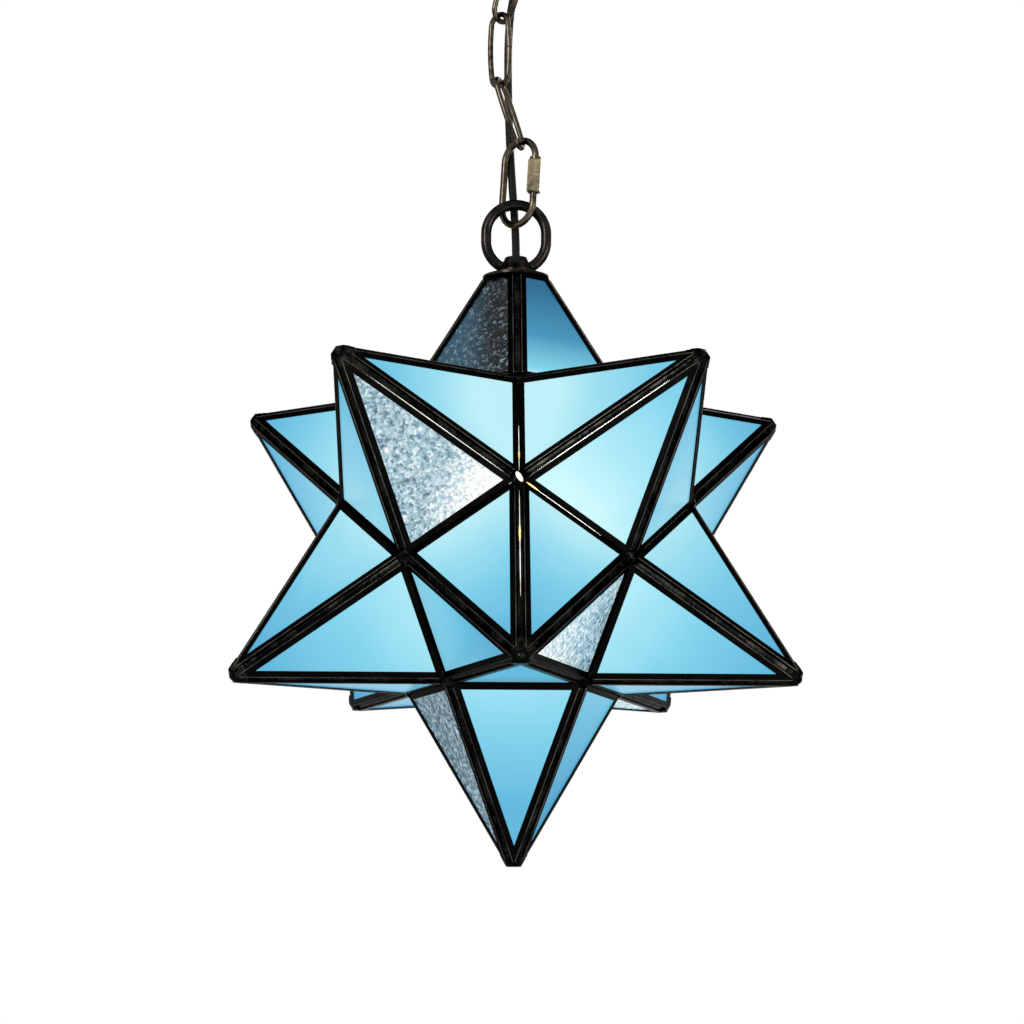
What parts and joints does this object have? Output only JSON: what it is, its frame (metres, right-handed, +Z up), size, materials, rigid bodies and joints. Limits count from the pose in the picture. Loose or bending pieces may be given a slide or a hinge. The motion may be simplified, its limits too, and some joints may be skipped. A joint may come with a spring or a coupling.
{
  "type": "star pendant light",
  "caption": "Pendant light: a pointed star of blue and clear stained-glass triangles in dark metal frames, hung by a ring, quick link, chain and cord from a ceiling canopy.",
  "frame": {"origin": "in the ceiling plane, midway between the two screw slots of the crossbar", "axes": "+Z up out of the ceiling mount, -Y towards the viewer of the picture, +X to the viewer's right"},
  "size_m": [0.3048, 0.3206, 0.5827],
  "materials": {
    "patina_frame": "black patina, worn bright on the solder crowns",
    "blue_glass": "opal stained glass, smooth",
    "clear_glass": "clear hammered glass",
    "antique_brass": "antique brass",
    "dark_bronze": "dark bronze, satin",
    "steel": "zinc plated",
    "black_phenolic": "moulded phenolic",
    "contact_brass": "pressed brass",
    "lamp_base": "rolled aluminium",
    "bulb_collar": "moulded plastic with a pink metallic coat",
    "led_column": "board with LEDs",
    "bulb_cover": "clear moulded cover",
    "black_cord": "smooth PVC"
  },
  "bodies": {
    "ceiling_mount": {"ceiling_crossbar": "steel", "canopy_nipple": "steel", "canopy_locknut": "steel", "canopy": "dark_bronze", "canopy_loop": "dark_bronze", "supply_cord": "black_cord"},
    "upper_link": {"chain_link_upper": "antique_brass"},
    "middle_link": {"chain_link_middle": "antique_brass"},
    "lower_link": {"chain_link_lower": "antique_brass"},
    "quick_link": {"quick_link": "antique_brass"},
    "link_nut": {"quick_link_nut": "antique_brass"},
    "star": {"top_point_frame": "patina_frame", "upper_front_left_point_frame": "patina_frame", "upper_front_right_point_frame": "patina_frame", "upper_left_point_frame": "patina_frame", "upper_right_point_frame": "patina_frame", "lower_front_point_frame": "patina_frame", "lower_front_left_point_frame": "patina_frame", "lower_front_right_point_frame": "patina_frame", "lower_back_left_point_frame": "patina_frame", "lower_back_right_point_frame": "patina_frame", "bottom_point_frame": "patina_frame", "top_point_blue_glass": "blue_glass", "upper_front_left_point_blue_glass": "blue_glass", "upper_front_right_point_blue_glass": "blue_glass", "upper_left_point_blue_glass": "blue_glass", "upper_right_point_blue_glass": "blue_glass", "lower_front_point_blue_glass": "blue_glass", "lower_front_left_point_blue_glass": "blue_glass", "lower_front_right_point_blue_glass": "blue_glass", "lower_back_left_point_blue_glass": "blue_glass", "lower_back_right_point_blue_glass": "blue_glass", "bottom_point_blue_glass": "blue_glass", "clear_glass_panes": "clear_glass", "valley_solder": "patina_frame", "hinge_fixed_knuckles": "patina_frame", "hinge_pin": "steel", "star_loop": "dark_bronze", "star_cap_disc": "dark_bronze", "star_nipple": "steel", "star_locknut": "steel", "lampholder_cap": "black_phenolic", "lampholder_shell": "black_phenolic", "lampholder_insulator": "black_phenolic", "lampholder_screw_shell": "contact_brass", "lampholder_contact": "contact_brass"},
    "door": {"door_point_frame": "patina_frame", "door_point_blue_glass": "blue_glass", "door_clear_glass": "clear_glass", "hinge_door_knuckle": "patina_frame"},
    "bulb": {"bulb_tip_contact": "lamp_base", "bulb_tip_insulator": "black_phenolic", "bulb_screw_base": "lamp_base", "bulb_collar": "bulb_collar", "bulb_led_column": "led_column", "bulb_cover": "bulb_cover"}
  },
  "joints": [
    {"name": "upper_link_swing", "type": "hinge", "parent": "ceiling_mount", "child": "upper_link", "pos_m": [0, 0, -0.0641], "axis": [0.7071, -0.7071, 0], "range_deg": [-30, 30], "deforming": ["supply_cord"]},
    {"name": "middle_link_swing", "type": "hinge", "parent": "upper_link", "child": "middle_link", "pos_m": [-0.01017, 0, -0.10051], "axis": [0.6681, 0.7203, -0.1866], "range_deg": [-30, 30], "deforming": ["supply_cord"]},
    {"name": "lower_link_swing", "type": "hinge", "parent": "middle_link", "child": "lower_link", "pos_m": [-0.00955, 0, -0.1397], "axis": [0.707, -0.7072, 0.0111], "range_deg": [-30, 30], "deforming": ["supply_cord"]},
    {"name": "quick_link_swing", "type": "hinge", "parent": "lower_link", "child": "quick_link", "pos_m": [0.00247, 0, -0.17649], "axis": [0.3704, 0.9209, 0.1211], "range_deg": [-30, 30], "deforming": ["supply_cord"]},
    {"name": "star_swing", "type": "hinge", "parent": "quick_link", "child": "star", "pos_m": [0, 0, -0.21032], "axis": [1, 0, 0], "range_deg": [-30, 30], "deforming": ["supply_cord"]},
    {"name": "quick_link_nut_travel", "type": "slide", "parent": "quick_link", "child": "link_nut", "axis": [-0.0541, 0, -0.9985], "range_m": [0, 0.0055]},
    {"name": "door_hinge", "type": "hinge", "parent": "star", "child": "door", "pos_m": [0, 0.05224, -0.32095], "axis": [1, 0, 0], "range_deg": [0, 95]},
    {"name": "bulb_turn", "type": "hinge", "parent": "star", "child": "bulb", "pos_m": [0, 0, -0.33062], "axis": [0, 0, 1], "continuous": true}
  ]
}
